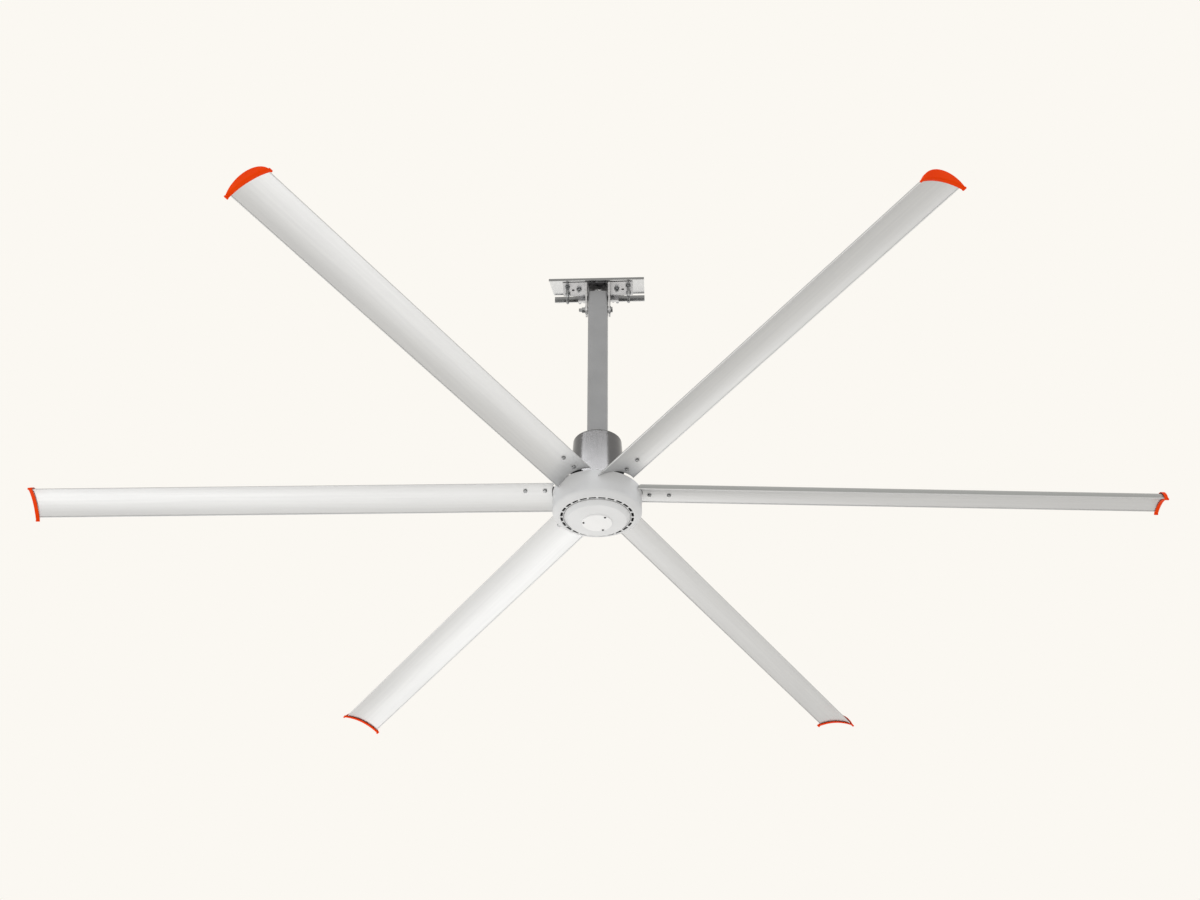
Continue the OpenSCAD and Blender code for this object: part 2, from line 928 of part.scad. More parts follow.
// Half outline of the disc, t further in than its outer face
module disc_profile(r, t) {
    top = 2 * cover_wall + (t > 0 ? 1 : 0);
    round_z = disc_round - disc_side;
    round_x = r + (round_z * sin(disc_lean) - disc_round) / cos(disc_lean);
    polygon([
        [0, top],
        [r - t, top],
        [r - t, -t * tan((90 - disc_lean) / 2)],
        [
            round_x + (disc_round - t) * cos(disc_lean),
            round_z - (disc_round - t) * sin(disc_lean)
        ],
        [round_x, t - disc_side],
        [centre_cap_r + 2, t - disc_drop],
        [0, t - disc_drop]
    ]);
    translate([round_x, round_z])
        circle(r = disc_round - t, $fn = 48);
}

module centre_cap() {
    color("white")
        difference() {
            translate([0, 0, face_z - disc_drop])
                mirror([0, 0, 1])
                    rotate_extrude($fn = 120)
                        cap_profile();
            cap_screw_places()
                translate([0, 0, face_z - disc_drop - centre_cap_t - 1])
                    cylinder(r = cap_screw_r, h = centre_cap_t + 2);
        }
}

module cap_profile() {
    e = 2;
    square([centre_cap_r, centre_cap_t - e]);
    square([centre_cap_r - e, centre_cap_t]);
    translate([centre_cap_r - e, centre_cap_t - e])
        circle(r = e, $fn = 24);
}

module cap_screws() {
    color("dimgray")
        cap_screw_places()
            translate([0, 0, face_z - disc_drop - centre_cap_t - cap_screw_head_h]) {
                cylinder(r = cap_screw_head_r, h = cap_screw_head_h);
                cylinder(r = cap_screw_r, h = cap_screw_head_h + centre_cap_t + cap_screw_l - 6);
            }
}

// Smooth tapered shroud between the hub and the down tube
module motor_shroud() {
    r_round = shroud_top_r + shroud_slope * shroud_round - shroud_round;
    color("lightgray")
        rotate_extrude($fn = 180)
            difference() {
                shroud_profile(r_round, 0);
                shroud_profile(r_round, shroud_wall);
                translate([0, shroud_top_z - 2 * shroud_wall])
                    square([r_round - shroud_lip, 4 * shroud_wall]);
            }
}

// Half outline of the shroud, t further in than its outer face
module shroud_profile(r_round, t) {
    low = t > 0 ? 1 : 0;
    bend_z = shroud_top_z - shroud_round;
    polygon([
        [0, shroud_z - low],
        [shroud_bottom_r + shroud_slope * low - t, shroud_z - low],
        [r_round + shroud_round - t, bend_z],
        [r_round, shroud_top_z - t],
        [0, shroud_top_z - t]
    ]);
    translate([r_round, bend_z])
        circle(r = shroud_round - t, $fn = 48);
}

// Ring that closes the shroud's top round the tube
module shroud_top() {
    lip_r = shroud_top_r + shroud_slope * shroud_round - shroud_round - shroud_lip;
    color("gray")
        difference() {
            union() {
                translate([0, 0, shroud_top_z])
                    cylinder(r = lip_r + shroud_lip - 1, h = shroud_wall);
                translate([0, 0, shroud_top_z - shroud_wall])
                    cylinder(r = lip_r - seat_fit, h = shroud_wall + tiny);
            }
            translate([0, 0, shroud_top_z - shroud_wall - 1])
                linear_extrude(2 * shroud_wall + 2)
                    rounded_square(tube_w + 2 * seat_fit, tube_corner);
        }
}

// Disc between the shaft flange and the tube's base plate, on which the shroud wedges
module shroud_base() {
    top_r = shroud_bottom_r - shroud_slope * (base_z - shroud_z) - shroud_wall;
    color("gray")
        difference() {
            translate([0, 0, shroud_base_z])
                ring(top_r - seat_fit, shaft_bore_r, shroud_base_t);
            flange_bolt_places()
                translate([0, 0, shroud_base_z - 1])
                    cylinder(r = bolt_r + hole_fit, h = shroud_base_t + 2);
        }
}

module flange_bolt_places() {
    for (x = [-1, 1], y = [-1, 1])
        translate([x * (base_w / 2 - 14), y * (base_w / 2 - 14), 0])
            children();
}

module flange_bolts() {
    grip = 2 * base_t + shroud_base_t;
    color("silver")
        flange_bolt_places()
            translate([0, 0, flange_z])
                mirror([0, 0, 1])
                    hex_bolt(bolt_r, grip + nut_h + 3, head_r, head_h);
}

module flange_nuts() {
    color("silver")
        flange_bolt_places()
            translate([0, 0, tube_z])
                hex_nut(bolt_r, head_r, nut_h);
}

module tube_base_plate() {
    color("gray")
        difference() {
            translate([-base_w / 2, -base_w / 2, base_z])
                cube([base_w, base_w, base_t]);
            translate([0, 0, base_z - 1])
                cylinder(r = shaft_bore_r, h = base_t + 2);
            flange_bolt_places()
                translate([0, 0, base_z - 1])
                    cylinder(r = bolt_r + hole_fit, h = base_t + 2);
        }
}

module down_tube() {
    color("darkgray")
        difference() {
            translate([0, 0, tube_z])
                linear_extrude(tube_top_z - tube_z)
                    difference() {
                        rounded_square(tube_w, tube_corner);
                        rounded_square(tube_w - 2 * tube_wall, tube_corner - tube_wall);
                    }
            translate([-tube_w, 0, pivot_z])
                rotate([0, 90, 0])
                    cylinder(r = pivot_r + pivot_fit, h = 2 * tube_w);
        }
}

// Places children on the pivot axis, z along +X, from x
module on_pivot(x) {
    translate([x, 0, pivot_z])
        rotate([0, 90, 0])
            children();
}

module pivot_spacers() {
    color("silver")
        for (x = [-tube_w / 2 - ear_gap + seat_fit, tube_w / 2])
            on_pivot(x)
                ring(spacer_r, pivot_r + pivot_fit, ear_gap - seat_fit);
}

module pivot_bolt() {
    head_x = ear_out + washer_t;
    color("silver")
        on_pivot(head_x)
            hex_bolt(pivot_r, 2 * head_x + pivot_nut_h + pivot_tail, pivot_head_r, pivot_head_h);
}

module pivot_nut() {
    color("silver")
        on_pivot(-ear_out - washer_t - pivot_nut_h)
            hex_nut(pivot_r, pivot_head_r, pivot_nut_h);
}

module pivot_washers() {
    color("silver")
        for (x = [ear_out, -ear_out - washer_t])
            on_pivot(x)
                ring(washer_r, pivot_r, washer_t);
}

// Wide rail on the near side of the mount, with a stiffening lip
module near_rail() {
    color("lightgray")
        difference() {
            union() {
                translate([0, 0, -rail_t])
                    linear_extrude(rail_t)
                        rail_plan(near_y, near_end_y);
                translate([0, 0, -near_rail_lip])
                    linear_extrude(near_rail_lip - tiny)
                        rail_plan(near_y, near_y + rail_t);
            }
            spare_holes();
            clamp_holes();
            yoke_bolt_holes();
        }
}

module far_rail() {
    color("lightgray")
        difference() {
            union() {
                translate([0, 0, -rail_t])
                    linear_extrude(rail_t)
                        rail_plan(far_y, far_end_y);
                translate([0, 0, -far_rail_h])
                    linear_extrude(far_rail_h - tiny)
                        rail_plan(far_y, far_y + rail_t);
            }
            clamp_holes();
            back_bolt_holes();
        }
}

// Plan of a rail between two depths, with its raked left end
module rail_plan(y0, y1) {
    polygon([
        [rail_left_x(y0), y0],
        [rail_right, y0],
        [rail_right, y1],
        [rail_left_x(y1), y1]
    ]);
}

module clamp_holes() {
    for (x = [-clamp_x, clamp_x], y = [clamp_near_y, clamp_far_y])
        translate([x, y, yoke_z - 1])
            cylinder(r = bolt_r + hole_fit, h = yoke_t + rail_t + 2);
}

module spare_holes() {
    for (x = [-spare_hole_x, spare_hole_x])
        translate([x, spare_hole_y, yoke_z - 1])
            cylinder(r = bolt_r + hole_fit, h = yoke_t + rail_t + 2);
}

module yoke_bolt_holes() {
    for (x = [-yoke_bolt_x, yoke_bolt_x], y = [yoke_bolt_near_y, yoke_bolt_far_y])
        translate([x, y, yoke_z - 1])
            cylinder(r = bolt_r + hole_fit, h = yoke_t + rail_t + 2);
}

module back_bolt_holes() {
    for (x = [-back_bolt_x, back_bolt_x])
        translate([x, far_y - yoke_back_t - 1, back_bolt_z])
            rotate([-90, 0, 0])
                cylinder(r = back_bolt_r + hole_fit, h = yoke_back_t + rail_t + 2);
}

// Yoke: a plate with wings under the near rail, a back flange on the far rail, and two ears
module yoke() {
    color("darkgray")
        difference() {
            union() {
                translate([-wing_x, yoke_near_y, yoke_z])
                    cube([2 * wing_x, wing_far_y - yoke_near_y, yoke_t]);
                translate([-yoke_body_x, yoke_near_y, yoke_z])
                    cube([2 * yoke_body_x, far_y - yoke_near_y, yoke_t]);
                translate([-yoke_body_x, far_y - yoke_back_t, -far_rail_h])
                    cube([2 * yoke_body_x, yoke_back_t, far_rail_h - rail_t]);
                for (x = [-ear_out, ear_in])
                    along_x(x, x + ear_t)
                        ear_outline();
            }
            translate([0, 0, yoke_z - 1])
                cylinder(r = wire_hole_r, h = yoke_t + 2);
            spare_holes();
            clamp_holes();
            yoke_bolt_holes();
            back_bolt_holes();
            on_pivot(-2 * ear_out)
                cylinder(r = pivot_r + pivot_fit, h = 4 * ear_out);
        }
}

module ear_outline() {
    end = [0, pivot_z];
    near_top = [yoke_near_y, yoke_z + tiny];
    far_top = [ear_top_far, yoke_z + tiny];
    polygon([
        near_top,
        far_top,
        touch(far_top, end, ear_r, -1),
        end,
        touch(near_top, end, ear_r, 1)
    ]);
    translate(end)
        circle(r = ear_r);
}

// Clamp that hooks over the beam flange: side is 1 or -1, about depth y
module beam_clamp(side, y, w) {
    toe_x = flange_w / 2 - clamp_lap;
    heel_end = clamp_heel_x + clamp_heel;
    color("silver")
        difference() {
            translate([0, y + w / 2, 0])
                rotate([90, 0, 0])
                    linear_extrude(w)
                        polygon([
                            [side * toe_x, clamp_under],
                            [side * clamp_heel_x, clamp_under],
                            [side * clamp_heel_x, 0],
                            [side * heel_end, 0],
                            [side * heel_end, clamp_under],
                            [side * (heel_end - 8), clamp_top],
                            [side * (clamp_x - 14), clamp_top],
                            [side * toe_x, clamp_under + 8]
                        ]);
            translate([side * clamp_x, y, -1])
                cylinder(r = bolt_r + hole_fit, h = clamp_top + 2);
        }
}

module clamp_bolts() {
    near_l = clamp_top - yoke_z + nut_h + thread_show;
    far_l = clamp_top + rail_t + nut_h + thread_show;
    color("silver")
        for (x = [-clamp_x, clamp_x]) {
            translate([x, clamp_near_y, clamp_top])
                hex_bolt(bolt_r, near_l, head_r, head_h);
            translate([x, clamp_far_y, clamp_top])
                hex_bolt(bolt_r, far_l, head_r, head_h);
        }
}

module clamp_nuts() {
    color("silver")
        for (x = [-clamp_x, clamp_x]) {
            translate([x, clamp_near_y, yoke_z - nut_h])
                hex_nut(bolt_r, head_r, nut_h);
            translate([x, clamp_far_y, -rail_t - nut_h])
                hex_nut(bolt_r, head_r, nut_h);
        }
}

module yoke_bolts() {
    back_l = yoke_back_t + rail_t + back_bolt_head_h + 3;
    color("silver") {
        for (x = [-yoke_bolt_x, yoke_bolt_x], y = [yoke_bolt_near_y, yoke_bolt_far_y])
            translate([x, y, 0])
                hex_bolt(bolt_r, -yoke_z + nut_h + bolt_tail, head_r, head_h);
        for (x = [-back_bolt_x, back_bolt_x])
            translate([x, far_y - yoke_back_t, back_bolt_z])
                rotate([90, 30, 0])
                    hex_bolt(back_bolt_r, back_l, back_bolt_head_r, back_bolt_head_h);
    }
}

module yoke_nuts() {
    color("silver") {
        for (x = [-yoke_bolt_x, yoke_bolt_x], y = [yoke_bolt_near_y, yoke_bolt_far_y])
            translate([x, y, yoke_z - nut_h])
                hex_nut(bolt_r, head_r, nut_h);
        for (x = [-back_bolt_x, back_bolt_x])
            translate([x, far_y + rail_t + back_bolt_head_h, back_bolt_z])
                rotate([90, 30, 0])
                    hex_nut(back_bolt_r, back_bolt_head_r, back_bolt_head_h);
    }
}

near_rail();
far_rail();
yoke();
beam_clamp(-1, clamp_near_y, clamp_near_w);  // clamp_near_left
beam_clamp(1, clamp_near_y, clamp_near_w);  // clamp_near_right
beam_clamp(-1, clamp_far_y, clamp_far_w);  // clamp_far_left
beam_clamp(1, clamp_far_y, clamp_far_w);  // clamp_far_right
clamp_bolts();
clamp_nuts();
yoke_bolts();
yoke_nuts();
pivot_bolt();
pivot_nut();
pivot_washers();
down_tube();
pivot_spacers();
tube_base_plate();
motor_shroud();
shroud_top();
shroud_base();
flange_bolts();
flange_nuts();
shaft();
shaft_nut();
stator_core();
stator_coils();
hub_plate();
rotor_ring();
rotor_end_plate();
magnets();
upper_bearing();
lower_bearing();
hub_cover();
centre_disc();
centre_cap();
cap_screws();
hub_screws();
strut(0);  // strut_1
strut(1);  // strut_2
strut(2);  // strut_3
strut(3);  // strut_4
strut(4);  // strut_5
strut(5);  // strut_6
blade(0);  // blade_1
blade(1);  // blade_2
blade(2);  // blade_3
blade(3);  // blade_4
blade(4);  // blade_5
blade(5);  // blade_6
tip_cap(0);  // tip_cap_1
tip_cap(1);  // tip_cap_2
tip_cap(2);  // tip_cap_3
tip_cap(3);  // tip_cap_4
tip_cap(4);  // tip_cap_5
tip_cap(5);  // tip_cap_6
strut_bolts();
blade_bolts();
blade_nuts();
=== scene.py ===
# Six-blade high-volume low-speed ceiling fan: looks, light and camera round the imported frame
import math
import bmesh
import bpy
from mathutils import Matrix, Vector


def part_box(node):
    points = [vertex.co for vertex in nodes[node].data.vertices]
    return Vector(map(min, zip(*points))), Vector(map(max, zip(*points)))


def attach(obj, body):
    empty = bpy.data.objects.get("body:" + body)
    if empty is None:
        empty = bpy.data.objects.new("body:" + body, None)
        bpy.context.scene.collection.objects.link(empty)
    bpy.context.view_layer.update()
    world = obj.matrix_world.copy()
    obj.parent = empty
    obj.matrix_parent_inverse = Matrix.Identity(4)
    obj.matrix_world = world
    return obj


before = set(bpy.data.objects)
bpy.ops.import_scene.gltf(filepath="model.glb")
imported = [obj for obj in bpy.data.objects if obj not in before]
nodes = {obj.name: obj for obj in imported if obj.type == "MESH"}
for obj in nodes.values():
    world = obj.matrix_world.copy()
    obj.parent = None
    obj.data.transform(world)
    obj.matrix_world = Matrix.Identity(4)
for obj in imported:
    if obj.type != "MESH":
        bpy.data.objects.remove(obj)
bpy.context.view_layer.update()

ORIGIN = (0.0, 0.0, 0.0)
UP = (0.0, 0.0, 1.0)

# Camera fitted to the photograph
CAMERA_PLACE = (0.3188, -7.8275, -6.128)
CAMERA_TURN = math.radians(2.25)
CAMERA_RISE = math.radians(33.76)
CAMERA_ROLL = math.radians(0.2)
CAMERA_LENS = 64.47
CAMERA_CLIP = (0.1, 120.0)
SENSOR_WIDTH = 36.0

# Rotor at rest
BLADE_COUNT = 6
ROTOR_TURN = math.radians(2.25)

# Studs that hang below the yoke, and the size of every M12 bolt and nut
M12_RADIUS = 0.006
M12_PITCH = 0.00175
NUT_HEIGHT = 0.011
STUD_X = 0.140
STUD_Y = (-0.045, 0.008)
STUD_LOW = -0.072
STUD_NUT_LOW = -0.027

# Clamps' bolts: the y, lower end and nut's lower face of each
CLAMP_X = 0.087
CLAMP_TAILS = ((-0.024, -0.035, -0.027), (0.0705, -0.025, -0.017))

# Pivot bolt: the x of its end and of its nut's outer face
PIVOT_RADIUS = 0.008
PIVOT_PITCH = 0.002
PIVOT_TAIL = (-0.0874, -0.0734)
PIVOT_HEIGHT = -0.119

# Threads: steps in a turn, then the ridge, along the pitch as shares of it
THREAD_STEPS = 14
THREAD_RISE = 0.00035
THREAD_SINK = 0.0004
RIDGE_START, RIDGE_CREST, RIDGE_END = 0.03, 0.50, 0.97
BOLT_BEVEL = 0.001
CLAMP_BOLT_BEVEL = 0.0008
NUT_GAP = 0.0005

# Washers
WASHER_RADIUS = 0.0125
WASHER_THICKNESS = 0.002
WASHER_PLAY = 0.0005
WASHER_BEVEL = 0.0004
WASHER_TOP_GAP = 0.0001
WASHER_STEPS = 48

# Black ring round the stepped disc that paints the shadow in its joint, measured from the disc's
# rim and the cover's face
SHADOW_RING_INNER = 0.0006
SHADOW_RING_OUTER = 0.0011
SHADOW_RING_TOP = 0.0004
SHADOW_RING_BOTTOM = 0.0011
SHADOW_RING_BEVEL = 0.0004
SHADOW_RING_STEPS = 180

SHARP_ANGLE = math.radians(35.0)

# Sockets of the Mix node that a mix of colours uses
MIX_FACTOR, MIX_FIRST, MIX_SECOND, MIX_RESULT = 0, 6, 7, 2

# Room
FLOOR_DEPTH = -18.0
FLOOR_SIZE = 400.0
FLOOR_GLOW = 0.97
PALE_ROOM = (0.965, 0.939, 0.888)
ROOM_LIGHT = (0.93, 0.94, 0.96)
ROOM_LIGHT_STRENGTH = 1.02

# Row of softboxes that stand in an arc in front of the motor shroud
ARC_ANGLES = (-60.0, -36.0, -12.0, 12.0, 36.0)
ARC_RADIUS = 3.0
ARC_HEIGHT = 0.98
SHROUD_CENTRE = (0.0, 0.0, -0.97)
HUB_CENTRE = (0.0, 0.0, -1.1)


# Nodes shared by the materials

def new_material(name, colour, metallic, roughness):
    """A material with plain values on its shader, which textures may take over."""
    material = bpy.data.materials.new(name)
    material.use_nodes = True
    shader = material.node_tree.nodes["Principled BSDF"]
    shader.inputs["Base Color"].default_value = (*colour, 1.0)
    shader.inputs["Metallic"].default_value = metallic
    shader.inputs["Roughness"].default_value = roughness
    return material, material.node_tree, shader


def object_place(tree, turn=0.0, stretch=(1.0, 1.0, 1.0)):
    """Object coordinates, turned about the shaft and then stretched."""
    source = tree.nodes.new("ShaderNodeTexCoord")
    turned = tree.nodes.new("ShaderNodeMapping")
    turned.inputs["Rotation"].default_value = (0.0, 0.0, -turn)
    tree.links.new(source.outputs["Object"], turned.inputs["Vector"])
    stretched = tree.nodes.new("ShaderNodeMapping")
    stretched.inputs["Scale"].default_value = stretch
    tree.links.new(turned.outputs["Vector"], stretched.inputs["Vector"])
    return stretched.outputs["Vector"]


def noise(tree, place, scale, detail):
    """Soft clouds or grain; its factor lies mostly between 0.3 and 0.7."""
    node = tree.nodes.new("ShaderNodeTexNoise")
    node.inputs["Scale"].default_value = scale
    node.inputs["Detail"].default_value = detail
    tree.links.new(place, node.inputs["Vector"])
    return node.outputs["Fac"]


def cells(tree, place, scale):
    """Flat patches, each with one value of its own between 0 and 1."""
    node = tree.nodes.new("ShaderNodeTexVoronoi")
    node.inputs["Scale"].default_value = scale
    tree.links.new(place, node.inputs["Vector"])
    split = tree.nodes.new("ShaderNodeSeparateColor")
    tree.links.new(node.outputs["Color"], split.inputs["Color"])
    return split.outputs["Red"]


def stacked_lines(tree, scale, distortion):
    """Level bands one above the other, as of sheets or turns of wire."""
    node = tree.nodes.new("ShaderNodeTexWave")
    node.bands_direction = "Z"
    node.inputs["Scale"].default_value = scale
    node.inputs["Distortion"].default_value = distortion
    tree.links.new(object_place(tree), node.inputs["Vector"])
    return node.outputs["Fac"]


def spread(tree, factor, low, high, start=0.3, end=0.7):
    """Turns a factor between start and end into a value between low and high."""
    node = tree.nodes.new("ShaderNodeMapRange")
    node.inputs["From Min"].default_value = start
    node.inputs["From Max"].default_value = end
    node.inputs["To Min"].default_value = low
    node.inputs["To Max"].default_value = high
    tree.links.new(factor, node.inputs["Value"])
    return node.outputs["Result"]


def colour_mix(tree, factor):
    """A Mix node for colours that follows the factor."""
    node = tree.nodes.new("ShaderNodeMix")
    node.data_type = "RGBA"
    tree.links.new(factor, node.inputs[MIX_FACTOR])
    return node


def two_colours(tree, factor, first, second):
    """The first colour where the factor is 0, the second where it is 1."""
    node = colour_mix(tree, factor)
    node.inputs[MIX_FIRST].default_value = (*first, 1.0)
    node.inputs[MIX_SECOND].default_value = (*second, 1.0)
    return node.outputs[MIX_RESULT]


def shade_by_facing(tree, colour, painted_shade, start, end):
    """Paints shade over the sides whose normal, in the piece's own space, turns upward past start,
    in full from end on.
    """
    source = tree.nodes.new("ShaderNodeTexCoord")
    facing = tree.nodes.new("ShaderNodeSeparateXYZ")
    tree.links.new(source.outputs["Normal"], facing.inputs["Vector"])
    node = colour_mix(tree, spread(tree, facing.outputs["Z"], 0.0, 1.0, start, end))
    node.inputs[MIX_SECOND].default_value = (*painted_shade, 1.0)
    tree.links.new(colour, node.inputs[MIX_FIRST])
    return node.outputs[MIX_RESULT]


def raise_surface(tree, shader, height, strength, distance):
    """Gives the shader a fine relief, with its greatest height in metres as distance."""
    node = tree.nodes.new("ShaderNodeBump")
    node.inputs["Strength"].default_value = strength
    node.inputs["Distance"].default_value = distance
    tree.links.new(height, node.inputs["Height"])
    tree.links.new(node.outputs["Normal"], shader.inputs["Normal"])


# Finishes of the fan's pieces

def metal(name, dark, light, roughness, cloud_scale, stretch=(1.0, 1.0, 1.0), turn=0.0,
          metallic=1.0, grain=0.08, depth=0.0002, painted_shade=None):
    """Metal with a faint cloud of tone, a grain in its roughness, a fine surface and, where given,
    painted shade on its upward faces.
    """
    material, tree, shader = new_material(name, dark, metallic, roughness)
    place = object_place(tree, turn, stretch)
    cloud = noise(tree, place, scale=cloud_scale, detail=4.0)
    fine = noise(tree, place, scale=cloud_scale * 9.0, detail=2.0)
    colour = two_colours(tree, spread(tree, cloud, 0.0, 1.0), dark, light)
    # Painted shade: the upward faces take the darker tone
    if painted_shade:
        colour = shade_by_facing(tree, colour, painted_shade, start=0.0, end=0.3)
    tree.links.new(colour, shader.inputs["Base Color"])
    tree.links.new(spread(tree, fine, roughness - grain, roughness + grain),
                   shader.inputs["Roughness"])
    raise_surface(tree, shader, fine, strength=0.25, distance=depth)
    return material


def enamel(name, dark, light, roughness):
    """Sprayed enamel with orange peel and a faint, patchy layer of dust."""
    material, tree, shader = new_material(name, dark, 0.0, roughness)
    place = object_place(tree)
    cloud = noise(tree, place, scale=9.0, detail=5.0)
    peel = noise(tree, place, scale=420.0, detail=1.0)
    tree.links.new(two_colours(tree, spread(tree, cloud, 0.0, 1.0), dark, light),
                   shader.inputs["Base Color"])
    tree.links.new(spread(tree, cloud, roughness + 0.05, roughness - 0.04),
                   shader.inputs["Roughness"])
    shader.inputs["Specular IOR Level"].default_value = 0.4
    raise_surface(tree, shader, peel, strength=0.12, distance=0.0002)
    return material


def galvanised(name, dark, light, roughness, spangle, painted_shade=None):
    """Hot-dip zinc with its spangle of flat crystals and, where given, painted shade over every
    face that doesn't point down.
    """
    material, tree, shader = new_material(name, dark, 1.0, roughness)
    place = object_place(tree)
    flakes = cells(tree, place, spangle)
    cloud = noise(tree, place, scale=30.0, detail=4.0)
    colour = two_colours(tree, flakes, dark, light)
    # Painted shade: every face that doesn't point down takes the darker tone
    if painted_shade:
        colour = shade_by_facing(tree, colour, painted_shade, start=-0.9, end=-0.2)
    tree.links.new(colour, shader.inputs["Base Color"])
    tree.links.new(spread(tree, flakes, roughness - 0.07, roughness + 0.07, 0.0, 1.0),
                   shader.inputs["Roughness"])
    raise_surface(tree, shader, cloud, strength=0.2, distance=0.0003)
    return material


def blade_turn(i):
    """Angle of blade i at rest, counted from 0."""
    return ROTOR_TURN + i * math.tau / BLADE_COUNT


def blade_alloy(i):
    """Satin anodised extrusion, with its die lines along blade i, and painted shade that darkens
    its upward faces.
    """
    return metal(f"blade_alloy_{i + 1}", (0.625, 0.63, 0.638), (0.665, 0.67, 0.675),
                 roughness=0.44, cloud_scale=3.0, stretch=(0.6, 26.0, 26.0), turn=blade_turn(i),
                 metallic=0.85, grain=0.015, depth=0.000004, painted_shade=(0.36, 0.37, 0.37))


def strut_alloy(i):
    """Flat bar that carries blade i, near black as painted shade for the dark gap above the cover's
    rim.
    """
    return metal(f"strut_alloy_{i + 1}", (0.030, 0.030, 0.032), (0.050, 0.050, 0.053),
                 roughness=0.48, cloud_scale=6.0, stretch=(1.0, 18.0, 18.0), turn=blade_turn(i),
                 metallic=0.5)


def tip_orange():
    """Moulded plastic of the tip caps, with a fine spark-eroded grain."""
    dark, light = (0.80, 0.046, 0.001), (0.86, 0.058, 0.002)
    material, tree, shader = new_material("tip_orange", dark, metallic=0.0, roughness=0.5)
    place = object_place(tree)
    cloud = noise(tree, place, scale=14.0, detail=4.0)
    grain = noise(tree, place, scale=1400.0, detail=2.0)
    tree.links.new(two_colours(tree, spread(tree, cloud, 0.0, 1.0), dark, light),
                   shader.inputs["Base Color"])
    tree.links.new(spread(tree, grain, 0.44, 0.56), shader.inputs["Roughness"])
    shader.inputs["Specular IOR Level"].default_value = 0.03
    raise_surface(tree, shader, grain, strength=0.3, distance=0.0001)
    return material


def shroud_steel():
    """Dark rolled sheet of the motor shroud, brushed round its axis."""
    return metal("shroud_steel", (0.120, 0.120, 0.124), (0.142, 0.142, 0.146),
                 roughness=0.20, cloud_scale=5.0, stretch=(2.0, 2.0, 60.0),
                 grain=0.03, depth=0.000004)


def stator_steel():
    """Stacked laminations, one line to each sheet."""
    material, tree, shader = new_material("stator_steel", (0.20, 0.20, 0.21),
                                          metallic=0.9, roughness=0.45)
    sheets = stacked_lines(tree, scale=320.0, distortion=0.0)
    tree.links.new(two_colours(tree, sheets, (0.13, 0.13, 0.14), (0.27, 0.27, 0.28)),
                   shader.inputs["Base Color"])
    raise_surface(tree, shader, sheets, strength=0.5, distance=0.0004)
    return material


def copper_wire():
    """Enamelled winding wire, its turns side by side."""
    material, tree, shader = new_material("copper_wire", (0.56, 0.20, 0.08),
                                          metallic=0.9, roughness=0.3)
    turns = stacked_lines(tree, scale=180.0, distortion=0.6)
    tree.links.new(two_colours(tree, turns, (0.34, 0.10, 0.04), (0.70, 0.27, 0.11)),
                   shader.inputs["Base Color"])
    raise_surface(tree, shader, turns, strength=0.8, distance=0.0006)
    return material


def finishes():
    """One finish for each material slot of the record."""
    return {
        # Rails: painted shade darkens every face that doesn't point down; only the undersides keep
        # the zinc's own tone
        "rail_steel": galvanised("rail_steel", (0.52, 0.525, 0.53), (0.66, 0.665, 0.67),
                                 roughness=0.27, spangle=70.0, painted_shade=(0.24, 0.245, 0.25)),
        "yoke_steel": galvanised("yoke_steel", (0.42, 0.42, 0.43), (0.58, 0.58, 0.59),
                                 roughness=0.36, spangle=110.0),
        "clamp_steel": galvanised("clamp_steel", (0.34, 0.34, 0.34), (0.52, 0.52, 0.52),
                                  roughness=0.38, spangle=120.0),
        "zinc_fasteners": metal("zinc_fasteners", (0.16, 0.165, 0.17), (0.46, 0.47, 0.48),
                                roughness=0.20, cloud_scale=90.0),
        "tube_paint": enamel("tube_paint", (0.312, 0.312, 0.312), (0.344, 0.344, 0.344),
                             roughness=0.40),
        "shroud_steel": shroud_steel(),
        "dark_steel": metal("dark_steel", (0.11, 0.11, 0.12), (0.17, 0.17, 0.18),
                            roughness=0.45, cloud_scale=20.0),
        "machined_steel": metal("machined_steel", (0.48, 0.48, 0.49), (0.62, 0.62, 0.63),
                                roughness=0.24, cloud_scale=12.0, stretch=(1.0, 1.0, 30.0)),
        "bearing_steel": metal("bearing_steel", (0.50, 0.50, 0.51), (0.66, 0.66, 0.67),
                               roughness=0.18, cloud_scale=30.0),
        "stator_steel": stator_steel(),
        "copper_wire": copper_wire(),
        "magnet_plating": metal("magnet_plating", (0.55, 0.55, 0.52), (0.70, 0.70, 0.66),
                                roughness=0.2, cloud_scale=50.0),
        # Near black, a painted shade: the hub plate shows only through the shadowed gap above the
        # cover's rim
        "hub_alloy": metal("hub_alloy", (0.022, 0.022, 0.024), (0.038, 0.038, 0.040),
                           roughness=0.55, cloud_scale=40.0, metallic=0.5),
        "cover_paint": enamel("cover_paint", (0.685, 0.69, 0.695), (0.725, 0.73, 0.735),
                              roughness=0.46),
        "cap_white": enamel("cap_white", (0.87, 0.87, 0.87), (0.90, 0.90, 0.90),
                            roughness=0.34),
        "tip_orange": tip_orange(),
    }


def black_screws():
    """Black oxide of the three small screws in the centre cap."""
    return metal("black_screws", (0.02, 0.02, 0.02), (0.045, 0.045, 0.045),
                 roughness=0.42, cloud_scale=300.0, metallic=0.6)


def disc_paint():
    """Enamel of the stepped disc, sprayed a little whiter than the cover."""
    return enamel("disc_paint", (0.75, 0.755, 0.76), (0.79, 0.795, 0.80), roughness=0.42)


def shadow_ring_finish():
    """Dull black with a fine matt skin, a painted shadow for the joint round the stepped disc."""
    material, tree, shader = new_material("shadow_ring_black", (0.03, 0.03, 0.03),
                                          metallic=0.0, roughness=0.75)
    skin = noise(tree, object_place(tree), scale=900.0, detail=2.0)
    tree.links.new(two_colours(tree, skin, (0.022, 0.022, 0.022), (0.05, 0.05, 0.05)),
                   shader.inputs["Base Color"])
    raise_surface(tree, shader, skin, strength=0.4, distance=0.0001)
    return material


